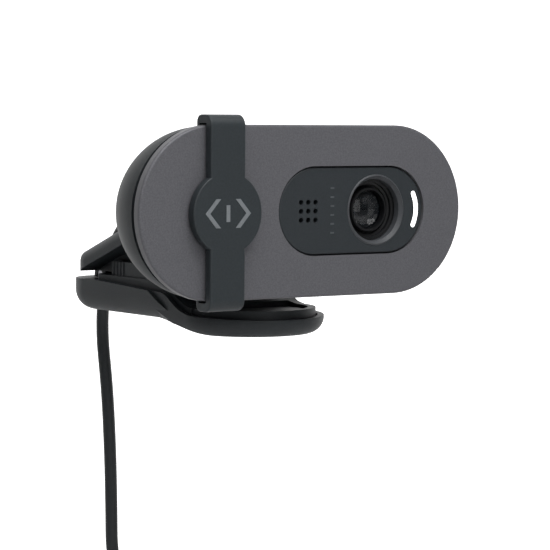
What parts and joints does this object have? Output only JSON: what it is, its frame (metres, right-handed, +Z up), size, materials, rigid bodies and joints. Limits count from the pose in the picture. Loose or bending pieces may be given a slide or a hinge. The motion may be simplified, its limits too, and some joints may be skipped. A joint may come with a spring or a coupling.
{
  "type": "clip-on webcam",
  "caption": "Wide rounded webcam on a folding monitor clip, with a sliding privacy shutter over its lens window and a fixed USB cord that hangs behind.",
  "frame": {"origin": "middle of the flat seat pad under the clip's tongue, which rests on a monitor's top edge", "axes": "+X to the right along the wide face as seen from the front, +Y back from the face, +Z up, square to the seat"},
  "size_m": [0.0805, 0.0853, 0.1601],
  "materials": {
    "plate_grey": "fine satin speckle",
    "window_graphite": "satin",
    "graphite": "fine texture",
    "inner_black": "matt",
    "ring_grey": "satin gloss",
    "lens_glass": "coated",
    "filter_glass": "coated",
    "chip_black": "moulded",
    "lamp_white": "diffusing",
    "soft_rubber": "matt",
    "shell_steel": "plated",
    "screw_steel": "zinc plated",
    "board_green": "solder mask",
    "connector_white": "moulded",
    "connector_black": "moulded",
    "contact_gold": "plated",
    "cord_rubber": "satin",
    "tie_strap": "woven hook tape",
    "felt": "felt",
    "washer_nylon": "natural nylon"
  },
  "bodies": {
    "clip": {"clip_tongue": "graphite", "bezel_pad": "soft_rubber", "clip_block": "graphite", "clip_arm": "graphite", "clip_screws": "screw_steel", "tilt_pin": "screw_steel", "tilt_washers": "washer_nylon", "leg_washers": "washer_nylon", "leg_pin": "screw_steel"},
    "head": {"front_plate": "plate_grey", "window_panel": "window_graphite", "face_frame": "inner_black", "frame_screws": "screw_steel", "lens_ring": "ring_grey", "lens_hood": "inner_black", "lens_barrel": "inner_black", "lens_front_glass": "lens_glass", "lens_rear_glass": "lens_glass", "lens_holder": "inner_black", "infrared_filter": "filter_glass", "image_sensor": "chip_black", "led_light_pipe": "lamp_white", "led_chip": "lamp_white", "mic_boot": "soft_rubber", "microphone": "shell_steel", "main_board": "board_green", "board_chips": "chip_black", "board_screws": "screw_steel", "cable_socket": "connector_white", "rear_housing": "graphite", "cord_gland": "cord_rubber", "cord_run": "cord_rubber", "cord_coil": "cord_rubber", "cord_tail": "cord_rubber", "cord_tie": "tie_strap", "plug_overmould": "cord_rubber", "plug_shell": "shell_steel", "plug_insert": "connector_black", "plug_contacts": "contact_gold"},
    "shutter": {"shutter": "graphite", "shutter_felt": "felt"},
    "leg": {"leg_shell": "graphite", "foot_pad": "soft_rubber"}
  },
  "joints": [
    {"name": "head_tilt", "type": "hinge", "parent": "clip", "child": "head", "pos_m": [0, -0.0135, 0.0134], "axis": [1, 0, 0], "range_deg": [-4, 5]},
    {"name": "shutter_slide", "type": "slide", "parent": "head", "child": "shutter", "axis": [1, 0, 0], "range_m": [0, 0.0349]},
    {"name": "leg_fold", "type": "hinge", "parent": "clip", "child": "leg", "pos_m": [0, 0.022, 0.0045], "axis": [1, 0, 0], "range_deg": [0, 65]}
  ]
}
